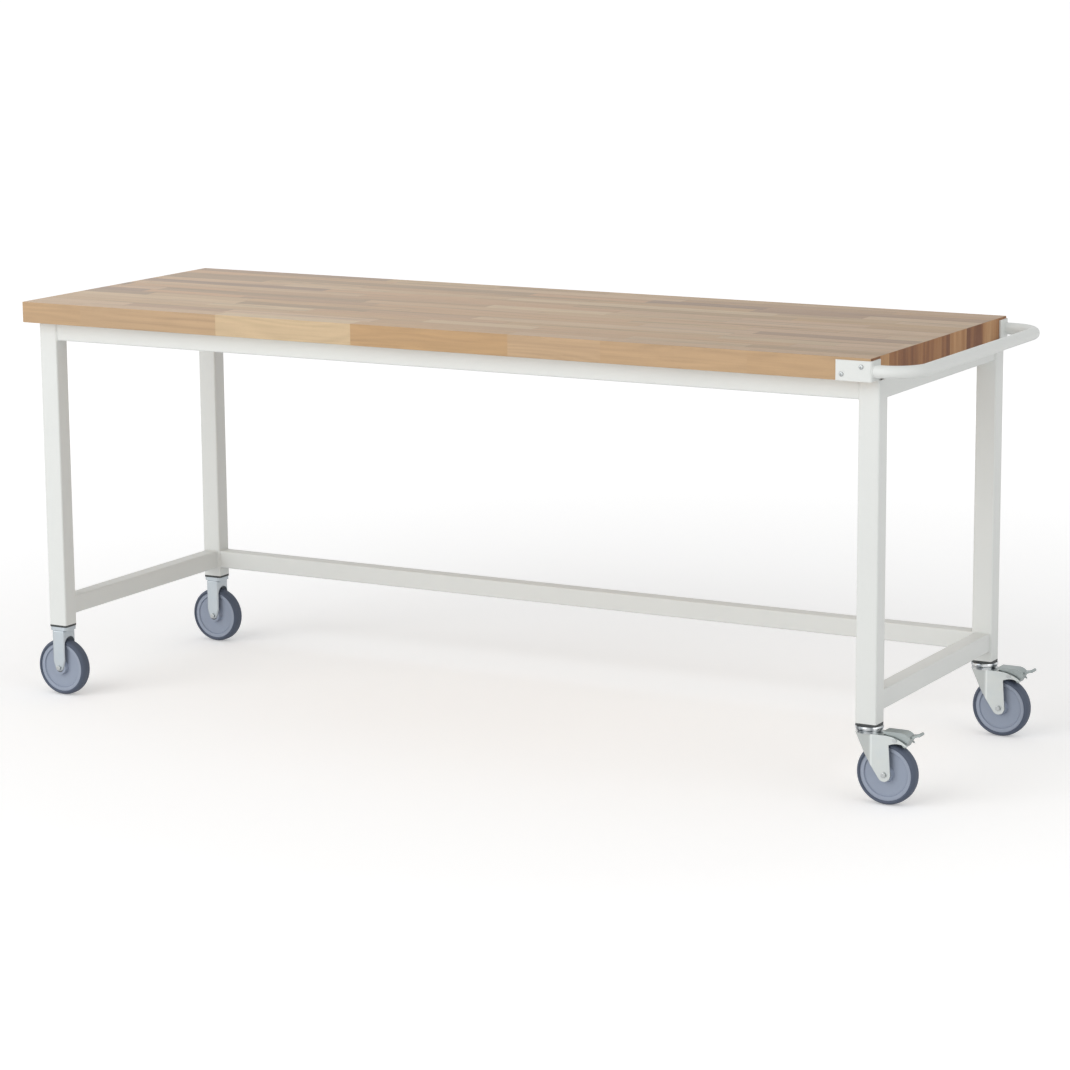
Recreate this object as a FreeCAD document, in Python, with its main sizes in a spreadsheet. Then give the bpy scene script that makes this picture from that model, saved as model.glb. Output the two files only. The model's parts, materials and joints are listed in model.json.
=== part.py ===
import FreeCAD, Part
import os
import re
import Sketcher

# Mobile workbench: beech block top on a welded tube frame, with two fixed castors at the
# left end, two braked swivel castors and a push handle at the right end.
# Millimetres. +X runs along the bench to the handle, +Y to the back, +Z up.
# The origin is on the floor under the middle of the overall length.

# Driving dimensions
DIMS = {
    # worktop
    "worktop_length": 2000.0,
    "worktop_depth": 700.0,
    "worktop_thickness": 45.0,
    "worktop_height": 880.0,
    "worktop_edge": 1.5,        # rounding of its edges
    "worktop_middle": -39.25,   # along the bench, from the middle of the overall length
    # frame
    "leg_inset_left": 44.5,     # worktop's left end to the middle of the left legs
    "leg_inset_right": 15.5,
    "leg_inset_side": 48.0,     # worktop's long edges to the middle of the legs
    "leg_width": 45.0,
    "leg_depth": 40.0,
    "leg_wall": 2.0,
    "leg_corner": 4.0,
    "rail_height": 40.0,
    "rail_width": 35.0,
    "rail_wall": 2.0,
    "rail_corner": 3.5,
    "lower_rail_lift": 20.5,    # from the leg end to the underside of a lower rail
    # leg insert
    "insert_flange": 4.5,
    "insert_depth": 46.0,
    "insert_gap": 0.1,
    # bolts that hold the worktop
    "top_bolt_radius": 4.0,
    "top_bolt_pitch": 760.0,
    "top_bolt_bite": 22.0,      # length inside the threaded insert
    "top_bolt_head": 5.3,
    "top_bolt_across": 13.0,
    "top_bolt_play": 0.5,       # radial play in the rails
    "top_bolt_access": 9.5,     # hole in the underside of a rail, for the bolt and its key
    "sleeve_nut_radius": 7.0,
    "sleeve_nut_length": 25.0,
    # push handle
    "handle_radius": 12.5,
    "handle_wall": 1.5,
    "handle_reach": 84.0,       # from the worktop's end to the grip's middle line
    "handle_bend": 65.0,
    "bracket_sheet": 3.0,
    "bracket_bend": 4.0,
    "bracket_length": 72.0,
    "bracket_flange": 40.0,
    "bracket_height": 40.0,
    "screw_radius": 2.5,
    "screw_length": 32.0,
    "screw_head_radius": 4.75,
    "screw_head": 2.6,
    "screw_dome": 1.5,          # rounding of the head
    "screw_low_back": 60.0,     # low screw, back from the worktop's end
    "screw_low_rise": 12.5,
    "screw_high_back": 19.0,
    "screw_high_rise": 28.5,
    # wheel
    "wheel_radius": 62.5,
    "tyre_width": 30.0,
    "tyre_flat": 8.0,           # level strip in the middle of the tread
    "tyre_lip_radius": 56.5,    # where the shoulder meets the flank
    "tyre_seat_width": 26.0,
    "core_radius": 54.0,
    "core_rim_width": 22.0,
    "core_rim_inner": 46.5,
    "core_step": 2.0,           # slope between the rim ring and the disc
    "core_disc_width": 16.0,
    "hub_radius": 15.0,
    "hub_flare": 2.0,
    "hub_length": 36.0,
    "bush_radius": 10.0,
    "spacer_radius": 6.5,
    # axle bolt
    "axle_radius": 3.0,
    "axle_across": 10.0,
    "axle_head": 4.0,
    "axle_nut": 5.2,
    "axle_tail": 2.0,           # thread past the nut
    # castors
    "hub_side_gap": 0.5,
    "fork_sheet": 2.5,
    "wheel_gap": 14.0,          # tyre to the plate of the swivel fork
    "stem_radius": 6.0,
    "stem_length": 40.0,
    "collar_length": 46.0,
    "collar_width": 42.0,
    "collar_height": 8.0,
    "collar_corner": 10.0,
    "fixed_width": 32.0,
    "fixed_end_half": 11.5,     # half width of the cheek at the axle
    "fixed_taper": 14.0,        # height of the tapered cheek end above the axle
    "fixed_shoulder": 2.5,
    "fixed_bend": 4.0,
    "arch_gap": 7.5,            # tyre to the arch of the fixed fork
    "trail": 40.0,              # swivel axis to axle
    "head_radius": 28.3,
    "head_height": 7.2,
    "race_radius": 27.0,
    "race_height": 6.0,
    "race_gap": 0.3,
    "king_radius": 7.0,
    "king_rivet_radius": 11.0,
    "king_rivet": 4.0,
    "lead_reach": 24.0,         # swivel axis to the front of the fork plate
    "lead_half": 13.5,          # half width of the fork's front
    "lead_knee": 2.5,
    "lead_knee_drop": 40.5,
    "crease": 12.0,             # where the cheeks turn in towards the front
    "crease_radius": 12.0,
    "plate_reach": 36.0,        # swivel axis to the back edge of the fork plate
    "swivel_end_radius": 13.5,
    "swivel_end_angle": 34.0,
    "cheek_neck": 9.5,
    "cheek_neck_drop": 18.5,
    "ear_reach": 47.5,          # axle to the ear's tip
    "ear_drop": 16.0,
    "ear_tip": 3.0,
    "ear_under_radius": 40.0,
    # brake pedal, places measured from its pivot
    "pivot_reach": 22.0,        # axle to pivot, along the bench
    "pivot_drop": 7.8,          # fork plate to pivot
    "pin_radius": 3.0,
    "pin_head_radius": 4.5,
    "pin_head": 1.5,
    "pedal_width": 30.0,
    "pedal_sheet": 3.5,
    "pedal_wall": 4.0,
    "pedal_back": 26.0,
    "pedal_rise": 15.0,
    "pedal_brow": 10.0,
    "pedal_nose": 26.5,
    "pedal_nose_rise": 7.8,
    "pedal_tip": 47.9,
    "pedal_tip_rise": 14.3,
    "pedal_boss": 6.5,
    "tongue_width": 20.0,
    "tip_radius": 3.2,          # rolled end of the tongue
    "shoe_reach": 19.0,
    "shoe_drop": 14.2,
    # fits
    "run_gap": 0.05,            # radial, between pieces that turn on each other
    "seat_gap": 0.02,           # radial, between pieces that stay together
}

# Places that follow from the driving dimensions
DERIVED = {
    "worktop_bottom": "worktop_height - worktop_thickness",
    "worktop_end": "worktop_middle + worktop_length / 2",
    "left": "worktop_middle - worktop_length / 2 + leg_inset_left",
    "right": "worktop_end - leg_inset_right",
    "back": "worktop_depth / 2 - leg_inset_side",
    "front": "leg_inset_side - worktop_depth / 2",
    "frame_middle": "(left + right) / 2",
    "axle_z": "wheel_radius",
    "fork_inner": "hub_length + 2 * hub_side_gap",
    "fork_outer": "fork_inner + 2 * fork_sheet",
    "fork_top": "2 * wheel_radius + wheel_gap + fork_sheet",
    "castor_top": "fork_top + race_height + race_gap + head_height",
    "leg_bottom": "castor_top + insert_flange",
    "leg_length": "worktop_bottom - leg_bottom",
    "long_rail": "right - left - leg_width",
    "side_rail": "back - front - leg_depth",
    "upper_rail_z": "worktop_bottom - rail_height / 2",
    "lower_rail_z": "leg_bottom + lower_rail_lift + rail_height / 2",
    "handle_z": "worktop_bottom + bracket_height / 2",
    "handle_y": "worktop_depth / 2 + bracket_sheet - handle_radius",
    "bracket_face": "worktop_depth / 2 + bracket_sheet",
    "fixed_top": "castor_top - collar_height",
    "arch_top": "2 * wheel_radius + arch_gap",
    "pivot_x": "trail + pivot_reach",
    "pivot_z": "fork_top - pivot_drop",
    "clear": "4 * wheel_radius",
}

WORD = re.compile(r"[a-z][a-z_]*")

doc = FreeCAD.newDocument("workbench")
sheet = doc.addObject("Spreadsheet::Sheet", "Dims")
for row, (alias, size) in enumerate(DIMS.items(), start=1):
    sheet.set("A%d" % row, str(size))
    sheet.setAlias("A%d" % row, alias)
doc.recompute()

nodes = []


# An expression on the sheet's cells, with the derived places written out
def bound(text):
    def swap(match):
        word = match.group(0)
        if word in DIMS:
            return "Dims." + word
        if word in DERIVED:
            return "(" + bound(DERIVED[word]) + ")"
        return word
    return WORD.sub(swap, text)


def number(text):
    return float(sheet.evalExpression(bound(text)))


def place(item, x="0", y="0", z="0", axis=(0, 0, 1), turn=0):
    item.Placement = FreeCAD.Placement(FreeCAD.Vector(), FreeCAD.Rotation(FreeCAD.Vector(*axis), turn))
    for letter, value in zip("xyz", (x, y, z)):
        item.setExpression("Placement.Base." + letter, bound(value))


def keep(item, label):
    item.Label = label
    nodes.append(item)
    return item


def new_body(label, x="0", y="0", z="0", turn=0):
    body = doc.addObject("PartDesign::Body", label)
    place(body, x, y, z, turn=turn)
    return keep(body, label)


# Sketches: every corner's coordinates are bound to the sheet

def tangent_centre(start, end, direction):
    normal = FreeCAD.Vector(-direction.y, direction.x, 0)
    chord = end - start
    return start + normal * (chord.dot(chord) / (2 * normal.dot(chord)))


def side_centre(start, end, radius, turn):
    chord = end - start
    rise = (radius ** 2 - chord.Length ** 2 / 4) ** 0.5
    normal = FreeCAD.Vector(-chord.y, chord.x, 0) / chord.Length
    return start + chord / 2 + normal * (rise if turn == "ccw" else -rise)


def arc_between(start, end, centre, ccw):
    first, last = (start, end) if ccw else (end, start)
    up = FreeCAD.Vector(0, 0, 1)
    circle = Part.Circle(centre, up, (start - centre).Length)
    return Part.ArcOfCircle(circle, circle.parameter(first), circle.parameter(last))


def fix_point(sketch, geometry, position, u, v):
    point = sketch.getPoint(geometry, position)
    for kind, text, value in (("DistanceX", u, point.x), ("DistanceY", v, point.y)):
        index = sketch.addConstraint(Sketcher.Constraint(kind, geometry, position, value))
        sketch.setExpression("Constraints[%d]" % index, bound(text))


# A closed or open line. A corner is (u, v) before a straight edge, (u, v, "before") or
# (u, v, "after") before an arc tangent to the edge before or after it, and
# (u, v, "ccw" or "cw", radius) before an arc of that radius.
def draw_line(sketch, corners, closed=True):
    points = [FreeCAD.Vector(number(c[0]), number(c[1]), 0) for c in corners]
    shapes = [c[2] if len(c) > 2 else "line" for c in corners]
    count = len(corners)
    edges = []
    for i in range(count if closed else count - 1):
        start, end = points[i], points[(i + 1) % count]
        if shapes[i] == "line":
            edges.append((sketch.addGeometry(Part.LineSegment(start, end)), 1, 2))
            continue
        if shapes[i] == "before":
            heading = (start - points[i - 1]).normalize()
            centre = tangent_centre(start, end, heading)
            ccw = heading.cross(centre - start).z > 0
        elif shapes[i] == "after":
            heading = (points[(i + 2) % count] - end).normalize()
            centre = tangent_centre(end, start, heading)
            ccw = heading.cross(centre - end).z > 0
        else:
            centre = side_centre(start, end, number(corners[i][3]), shapes[i])
            ccw = shapes[i] == "ccw"
        index = sketch.addGeometry(arc_between(start, end, centre, ccw))
        edges.append((index, 1, 2) if ccw else (index, 2, 1))
    for i, (index, first, last) in enumerate(edges):
        if closed or i + 1 < len(edges):
            follower = edges[(i + 1) % len(edges)]
            smooth = shapes[i] == "after" or shapes[(i + 1) % count] == "before"
            kind = "Tangent" if smooth else "Coincident"
            sketch.addConstraint(Sketcher.Constraint(kind, index, last, follower[0], follower[1]))
        if shapes[i] in ("ccw", "cw"):
            radius = sketch.addConstraint(Sketcher.Constraint("Radius", index, number(corners[i][3])))
            sketch.setExpression("Constraints[%d]" % radius, bound(corners[i][3]))
        fix_point(sketch, index, first, corners[i][0], corners[i][1])
    if not closed:
        fix_point(sketch, edges[-1][0], edges[-1][2], corners[-1][0], corners[-1][1])


def draw_circle(sketch, u, v, radius):
    centre = FreeCAD.Vector(number(u), number(v), 0)
    index = sketch.addGeometry(Part.Circle(centre, FreeCAD.Vector(0, 0, 1), number(radius)))
    fix_point(sketch, index, 3, u, v)
    size = sketch.addConstraint(Sketcher.Constraint("Radius", index, number(radius)))
    sketch.setExpression("Constraints[%d]" % size, bound(radius))


def new_sketch(body, plane, lines=(), circles=(), lift="0", closed=True):
    sketch = body.newObject("Sketcher::SketchObject", "Sketch")
    support = next(item for item in body.Origin.OriginFeatures if item.Role == plane + "_Plane")
    sketch.AttachmentSupport = [(support, "")]
    sketch.MapMode = "FlatFace"
    sketch.setExpression("AttachmentOffset.Base.z", bound(lift))
    for corners in lines:
        draw_line(sketch, corners, closed)
    for circle in circles:
        draw_circle(sketch, *circle)
    return sketch


def extrude(kind, body, sketch, length, symmetric, reverse):
    feature = body.newObject("PartDesign::" + kind, kind)
    feature.Profile = sketch
    feature.setExpression("Length", bound(length))
    feature.SideType = "Symmetric" if symmetric else "One side"
    feature.Reversed = reverse
    doc.recompute()
    return feature


def pad(body, sketch, length, symmetric=False, reverse=False):
    return extrude("Pad", body, sketch, length, symmetric, reverse)


def pocket(body, sketch, length, symmetric=False, reverse=False):
    before = body.Shape.Volume
    feature = extrude("Pocket", body, sketch, length, symmetric, reverse)
    if body.Shape.Volume >= before:
        raise RuntimeError("a cut in %s removed nothing" % body.Label)
    return feature


def revolve(body, sketch):
    feature = body.newObject("PartDesign::Revolution", "Revolution")
    feature.Profile = sketch
    feature.ReferenceAxis = (sketch, ["V_Axis"])
    feature.Angle = 360
    doc.recompute()
    return feature


def round_edges(body, radius, wanted):
    base = body.Tip
    names = ["Edge%d" % i for i, edge in enumerate(base.Shape.Edges, start=1) if wanted(edge)]
    if not names:
        raise RuntimeError("no edge to round on " + body.Label)
    fillet = body.newObject("PartDesign::Fillet", "Fillet")
    fillet.Base = (base, names)
    fillet.setExpression("Radius", bound(radius))
    doc.recompute()
    return fillet


def runs_along(edge, axis):
    if edge.Curve.TypeId != "Part::GeomLine":
        return False
    return abs(abs(edge.Curve.Direction.dot(axis)) - 1) < 1e-6


X_AXIS, Z_AXIS = FreeCAD.Vector(1, 0, 0), FreeCAD.Vector(0, 0, 1)


def rectangle(width, height, u="0", v="0"):
    half_u, half_v = "(%s) / 2" % width, "(%s) / 2" % height
    return [("%s - %s" % (u, half_u), "%s - %s" % (v, half_v)),
            ("%s + %s" % (u, half_u), "%s - %s" % (v, half_v)),
            ("%s + %s" % (u, half_u), "%s + %s" % (v, half_v)),
            ("%s - %s" % (u, half_u), "%s + %s" % (v, half_v))]


def rounded_rectangle(width, height, corner):
    u, v = "(%s) / 2" % width, "(%s) / 2" % height
    near_u, near_v = "(%s - (%s))" % (u, corner), "(%s - (%s))" % (v, corner)
    return [("-" + near_u, "-" + v), (near_u, "-" + v, "before"),
            (u, "-" + near_v), (u, near_v, "before"),
            (near_u, v), ("-" + near_u, v, "before"),
            ("-" + u, near_v), ("-" + u, "-" + near_v, "before")]


def tube_outline(width, height, wall, corner):
    inside = [side + " - 2 * " + wall for side in (width, height)]
    return [rounded_rectangle(width, height, corner),
            rounded_rectangle(inside[0], inside[1], corner + " - " + wall)]


# Part primitives with bound sizes

def primitive(kind, sizes, x="0", y="0", z="0"):
    item = doc.addObject("Part::" + kind, kind)
    for name, value in sizes.items():
        item.setExpression(name, bound(value))
    place(item, x, y, z)
    return item


def cylinder(radius, height, z="0"):
    return primitive("Cylinder", {"Radius": radius, "Height": height}, z=z)


def hexagon(across, height, z="0"):
    item = primitive("Prism", {"Circumradius": across + " / sqrt(3)", "Height": height}, z=z)
    item.Polygon = 6
    return item


def join(kind, base, tool):
    item = doc.addObject("Part::" + kind, kind)
    item.Base = base
    item.Tool = tool
    item.Refine = True
    return item


def group(label, items):
    item = doc.addObject("Part::Compound", label)
    item.Links = items
    return keep(item, label)


# Bolt with its head above z = 0 and its shank below
def hex_bolt(radius, length, across, head):
    return join("Fuse", hexagon(across, head), cylinder(radius, length, "-(%s)" % length))


def hex_nut(radius, across, height):
    return join("Cut", hexagon(across, height), cylinder(radius, height))


def pan_screw(radius, length, head_radius, head, dome):
    screw = join("Fuse", cylinder(head_radius, head), cylinder(radius, length, "-(%s)" % length))
    doc.recompute()
    rim = [i for i, edge in enumerate(screw.Shape.Edges, start=1)
           if edge.Closed and edge.BoundBox.ZMin > number(head) / 2]
    rounded = doc.addObject("Part::Fillet", "Fillet")
    rounded.Base = screw
    rounded.Edges = [(i, number(dome), number(dome)) for i in rim]
    return rounded


# Worktop: one glued block with blind holes for the threaded inserts and the handle screws

TOP_BOLTS = [(side, step) for side in ("front", "back") for step in (-1, 0, 1)]
SCREWS = [("screw_low_back", "screw_low_rise"), ("screw_high_back", "screw_high_rise")]


def make_worktop():
    body = new_body("worktop", "worktop_middle", "0", "worktop_bottom")
    pad(body, new_sketch(body, "XY", [rectangle("worktop_length", "worktop_depth")]), "worktop_thickness")
    round_edges(body, "worktop_edge", lambda edge: True)
    holes = [("frame_middle - worktop_middle + %d * top_bolt_pitch" % step, side,
              "sleeve_nut_radius + seat_gap")
             for side, step in TOP_BOLTS]
    pocket(body, new_sketch(body, "XY", circles=holes), "sleeve_nut_length + top_bolt_play", reverse=True)
    holes = [("worktop_length / 2 - " + back, rise, "screw_radius + seat_gap") for back, rise in SCREWS]
    for lift, reverse in (("worktop_depth / 2", False), ("-worktop_depth / 2", True)):
        sketch = new_sketch(body, "XZ", circles=holes, lift=lift)
        pocket(body, sketch, "screw_length - bracket_sheet + seat_gap", reverse=reverse)


def make_worktop_bolts():
    bolts, sleeves = [], []
    for side, step in TOP_BOLTS:
        x = "frame_middle + %d * top_bolt_pitch" % step
        bolt = hex_bolt("top_bolt_radius", "rail_wall + top_bolt_bite", "top_bolt_across", "top_bolt_head")
        place(bolt, x, side, "worktop_bottom - rail_wall", axis=(1, 0, 0), turn=180)
        bolts.append(bolt)
        sleeve = join("Cut", cylinder("sleeve_nut_radius", "sleeve_nut_length"),
                      cylinder("top_bolt_radius + seat_gap", "sleeve_nut_length"))
        place(sleeve, x, side, "worktop_bottom")
        sleeves.append(sleeve)
    group("worktop_bolts", bolts)
    group("worktop_threaded_inserts", sleeves)


# Frame of welded tube

LEGS = [("front_left", "left", "front"), ("front_right", "right", "front"),
        ("back_left", "left", "back"), ("back_right", "right", "back")]


def make_leg(name, x, y):
    body = new_body("leg_" + name, x, y, "leg_bottom")
    section = tube_outline("leg_width", "leg_depth", "leg_wall", "leg_corner")
    pad(body, new_sketch(body, "XY", section), "leg_length")


def make_leg_insert(name, x, y):
    body = new_body("leg_insert_" + name, x, y, "leg_bottom")
    flange = rounded_rectangle("leg_width", "leg_depth", "leg_corner")
    pad(body, new_sketch(body, "XY", [flange]), "insert_flange", reverse=True)
    plug = rounded_rectangle("leg_width - 2 * leg_wall - 2 * insert_gap",
                             "leg_depth - 2 * leg_wall - 2 * insert_gap",
                             "leg_corner - leg_wall - insert_gap")
    pad(body, new_sketch(body, "XY", [plug]), "insert_depth")
    bore = new_sketch(body, "XY", circles=[("0", "0", "stem_radius + seat_gap")])
    pocket(body, bore, "4 * insert_depth", symmetric=True)


# A rail starts at x, y, z and runs along the bench, or across it when turned
def make_rail(name, length, x, y, z, turn=0, bolted=False):
    body = new_body(name, x, y, z, turn)
    section = tube_outline("rail_width", "rail_height", "rail_wall", "rail_corner")
    pad(body, new_sketch(body, "YZ", section), length)
    if bolted:
        for radius, upward in (("top_bolt_radius + top_bolt_play", True), ("top_bolt_access", False)):
            holes = [("long_rail / 2 + %d * top_bolt_pitch" % step, "0", radius) for step in (-1, 0, 1)]
            pocket(body, new_sketch(body, "XY", circles=holes), "rail_height", reverse=upward)


def make_frame():
    for name, x, y in LEGS:
        make_leg(name, x, y)
        make_leg_insert(name, x, y)
    for side in ("front", "back"):
        make_rail("upper_rail_" + side, "long_rail", "left + leg_width / 2", side, "upper_rail_z",
                  bolted=True)
    make_rail("lower_rail_back", "long_rail", "left + leg_width / 2", "back", "lower_rail_z")
    for side in ("left", "right"):
        for level in ("upper", "lower"):
            make_rail("%s_rail_%s" % (level, side), "side_rail", side, "front + leg_depth / 2",
                      level + "_rail_z", turn=90)


# Push handle: bent tube welded to two brackets, each screwed to the worktop

def make_handle_bar():
    body = new_body("handle_bar", "worktop_end", "0", "handle_z")
    near, bend_y = "handle_reach - handle_bend", "handle_y - handle_bend"
    route = [("bracket_sheet", "-handle_y"), (near, "-handle_y", "before"),
             ("handle_reach", "-(%s)" % bend_y), ("handle_reach", bend_y, "before"),
             (near, "handle_y"), ("bracket_sheet", "handle_y")]
    path = new_sketch(body, "XY", [route], closed=False)
    rings = [("-handle_y", "0", "handle_radius"), ("-handle_y", "0", "handle_radius - handle_wall")]
    ring = new_sketch(body, "YZ", circles=rings, lift="bracket_sheet")
    doc.recompute()
    pipe = body.newObject("PartDesign::AdditivePipe", "Pipe")
    pipe.Profile = ring
    pipe.Spine = (path, [])
    doc.recompute()


def make_handle_bracket(name, sign):
    body = new_body("handle_bracket_" + name, "worktop_end", "0", "worktop_bottom")

    def at(x, depth):
        return (x, "%d * (%s)" % (sign, depth))

    inner = "worktop_depth / 2"
    outline = [at("-bracket_length", inner), at("0", inner),
               at("0", inner + " - bracket_flange"), at("bracket_sheet", inner + " - bracket_flange"),
               at("bracket_sheet", "bracket_face - bracket_bend") + ("before",),
               at("bracket_sheet - bracket_bend", "bracket_face"), at("-bracket_length", "bracket_face")]
    pad(body, new_sketch(body, "XY", [outline]), "bracket_height")
    holes = [("-" + back, rise, "screw_radius + seat_gap") for back, rise in SCREWS]
    sketch = new_sketch(body, "XZ", circles=holes, lift="%d * worktop_depth / 2" % -sign)
    pocket(body, sketch, "4 * bracket_sheet", symmetric=True)


def make_handle_screws():
    screws = []
    for sign, turn in ((-1, 90), (1, -90)):
        for back, rise in SCREWS:
            screw = pan_screw("screw_radius", "screw_length", "screw_head_radius", "screw_head", "screw_dome")
            place(screw, "worktop_end - " + back, "%d * bracket_face" % sign, "worktop_bottom + " + rise,
                  axis=(1, 0, 0), turn=turn)
            screws.append(screw)
    group("handle_screws", screws)


def make_handle():
    make_handle_bar()
    make_handle_bracket("front", -1)
    make_handle_bracket("back", 1)
    make_handle_screws()


# Wheels

def make_ring(label, x, y, inner, outer, length):
    body = new_body(label, x, y, "axle_z")
    sketch = new_sketch(body, "XZ", circles=[("0", "0", outer), ("0", "0", inner)])
    pad(body, sketch, length, symmetric=True)
    return body


# The wheel's sections are drawn as radius and distance from the middle plane
def mirrored(half):
    other = [(point[0], "-(%s)" % point[1]) for point in half]
    return other + half[::-1]


def make_wheel_core(label, x, y):
    body = new_body(label, x, y, "axle_z")
    half = [("bush_radius + seat_gap", "hub_length / 2"), ("hub_radius", "hub_length / 2"),
            ("hub_radius + hub_flare", "core_disc_width / 2"),
            ("core_rim_inner - core_step", "core_disc_width / 2"),
            ("core_rim_inner", "core_rim_width / 2"),
            ("core_radius - seat_gap", "core_rim_width / 2")]
    revolve(body, new_sketch(body, "XY", [mirrored(half)]))


def make_tyre(label, x, y):
    body = new_body(label, x, y, "axle_z")
    section = [("core_radius", "-tyre_seat_width / 2"), ("tyre_lip_radius", "-tyre_width / 2", "after"),
               ("wheel_radius", "-tyre_flat / 2"), ("wheel_radius", "tyre_flat / 2", "before"),
               ("tyre_lip_radius", "tyre_width / 2"), ("core_radius", "tyre_seat_width / 2")]
    revolve(body, new_sketch(body, "XY", [section]))


def make_wheel(name, x, y):
    make_wheel_core("wheel_core_" + name, x, y)
    make_tyre("tyre_" + name, x, y)
    make_ring("hub_bush_" + name, x, y, "spacer_radius + run_gap", "bush_radius", "hub_length")


def axle_bolt(x, y):
    bolt = hex_bolt("axle_radius", "fork_outer + axle_nut + axle_tail", "axle_across", "axle_head")
    place(bolt, x, y + " - fork_outer / 2", "axle_z", axis=(1, 0, 0), turn=90)
    return bolt


def axle_nut(x, y):
    nut = hex_nut("axle_radius + seat_gap", "axle_across", "axle_nut")
    place(nut, x, y + " + fork_outer / 2", "axle_z", axis=(1, 0, 0), turn=-90)
    return nut


def make_axles(name, places):
    group("axle_bolts_" + name, [axle_bolt(x, y) for x, y in places])
    group("axle_nuts_" + name, [axle_nut(x, y) for x, y in places])
    spacers = []
    for x, y in places:
        spacer = join("Cut", cylinder("spacer_radius", "fork_inner"),
                      cylinder("axle_radius + seat_gap", "fork_inner"))
        place(spacer, x, y + " + fork_inner / 2", "axle_z", axis=(1, 0, 0), turn=90)
        spacers.append(spacer)
    group("axle_spacers_" + name, spacers)


# Fixed castors: collar with stem, and a pressed fork with an arch over the wheel

def make_fixed_collar(name, x, y):
    body = new_body("fixed_collar_" + name, x, y, "castor_top")
    plate = rounded_rectangle("collar_length", "collar_width", "collar_corner")
    pad(body, new_sketch(body, "XY", [plate]), "collar_height", reverse=True)
    pad(body, new_sketch(body, "XY", circles=[("0", "0", "stem_radius")]), "stem_length")


def make_fixed_fork(name, x, y):
    body = new_body("fixed_fork_" + name, x, y)
    half = "fixed_width / 2"
    outline = [("-" + half, "fixed_top"), ("-" + half, "axle_z + fixed_taper"),
               ("-fixed_end_half", "axle_z", "before"), ("fixed_end_half", "axle_z"),
               (half, "axle_z + fixed_taper"), (half, "fixed_top")]
    pad(body, new_sketch(body, "XZ", [outline]), "fork_outer", symmetric=True)
    round_edges(body, "fixed_shoulder", lambda edge: runs_along(edge, X_AXIS))
    side = number("fork_outer / 2")
    round_edges(body, "fixed_bend",
                lambda edge: edge.BoundBox.YLength < 0.001 and abs(abs(edge.CenterOfMass.y) - side) < 0.001
                and not runs_along(edge, X_AXIS))
    inner = "fork_inner / 2"
    spring = "arch_top - " + inner
    arch = [("-" + inner, "0"), (inner, "0"), (inner, spring, "before"), ("-" + inner, spring)]
    pocket(body, new_sketch(body, "YZ", [arch]), "2 * fixed_width", symmetric=True)
    near = half + " - fork_sheet"
    hollow = [("-(%s)" % near, spring), (near, spring), (near, "fixed_top - fork_sheet"),
              ("-(%s)" % near, "fixed_top - fork_sheet")]
    pocket(body, new_sketch(body, "XZ", [hollow]), "fork_inner - 2 * fixed_shoulder", symmetric=True)
    hole = [("0", "axle_z", "axle_radius + seat_gap")]
    pocket(body, new_sketch(body, "XZ", circles=hole), "2 * fork_outer", symmetric=True)


# Swivel castors: stem, head and king pin stay with the leg; race, fork and axle turn

def make_swivel_head(name, x, y):
    body = new_body("swivel_head_" + name, x, y, "castor_top")
    down = "head_height + race_gap + race_height + fork_sheet + race_gap"
    section = [("0", "stem_length"), ("0", "-(%s + king_rivet)" % down),
               ("king_rivet_radius", "-(%s + king_rivet)" % down), ("king_rivet_radius", "-(%s)" % down),
               ("king_radius", "-(%s)" % down), ("king_radius", "-head_height"),
               ("head_radius", "-head_height"), ("head_radius", "0"),
               ("stem_radius", "0"), ("stem_radius", "stem_length")]
    revolve(body, new_sketch(body, "XZ", [section]))


def make_swivel_race(name, x, y):
    body = new_body("swivel_race_" + name, x, y, "fork_top")
    circles = [("0", "0", "race_radius"), ("0", "0", "king_radius + run_gap")]
    pad(body, new_sketch(body, "XY", circles=circles), "race_height")


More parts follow.
